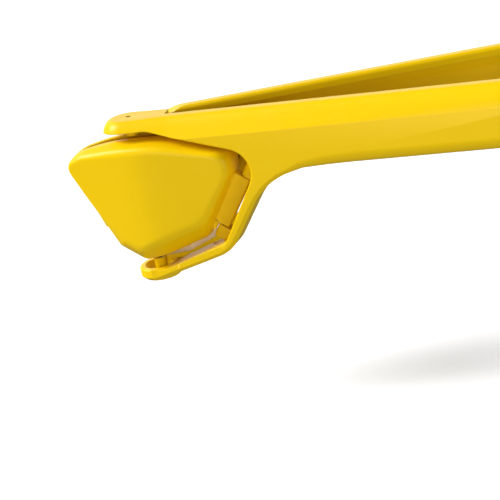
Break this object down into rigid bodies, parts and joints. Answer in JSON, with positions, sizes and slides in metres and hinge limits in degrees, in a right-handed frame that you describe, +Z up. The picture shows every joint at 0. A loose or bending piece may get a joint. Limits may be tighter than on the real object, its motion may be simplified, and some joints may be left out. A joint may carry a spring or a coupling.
{
  "type": "hinged lemon squeezer",
  "caption": "Fold-flat hand juicer for lemons: long hollow levers hinged at the head, with dished cups that swing shut inside them over a spout ring.",
  "frame": {"origin": "centre of the spout ring's underside, on the main hinge axis", "axes": "+Z up along the main hinge axis, +X towards the handle ends, the front lever on the -Y side"},
  "size_m": [0.2362, 0.0902, 0.0803],
  "materials": {
    "lever_plastic": "glossy moulded yellow",
    "cup_plastic": "glossy moulded yellow",
    "pin_steel": "plain drawn pin"
  },
  "bodies": {
    "rear_lever": {"rear_handle": "lever_plastic", "rear_cup_pin": "pin_steel"},
    "front_lever": {"front_handle": "lever_plastic", "upper_hinge_pin": "pin_steel", "lower_hinge_pin": "pin_steel", "front_cup_pin": "pin_steel"},
    "front_cup_body": {"front_cup": "cup_plastic"},
    "rear_cup_body": {"rear_cup": "cup_plastic", "cup_joint_pin": "pin_steel"}
  },
  "joints": [
    {"name": "main_hinge", "type": "hinge", "parent": "rear_lever", "child": "front_lever", "pos_m": [0, 0, 0.04], "axis": [0, 0, -1], "range_deg": [-18, 42]},
    {"name": "front_cup_hinge", "type": "hinge", "parent": "front_lever", "child": "front_cup_body", "pos_m": [0.04542, -0.01114, 0.0358], "axis": [0.557, -0.1366, 0.8192], "range_deg": [-3.83, 8.95]},
    {"name": "rear_cup_hinge", "type": "hinge", "parent": "rear_lever", "child": "rear_cup_body", "pos_m": [0.04542, 0.01114, 0.0358], "axis": [-0.557, -0.1366, -0.8192], "range_deg": [-3.83, 8.95]}
  ],
  "couplings": [
    {"joint": "front_cup_hinge", "follows": "main_hinge", "ratio": 0.213},
    {"joint": "rear_cup_hinge", "follows": "main_hinge", "ratio": 0.213}
  ]
}
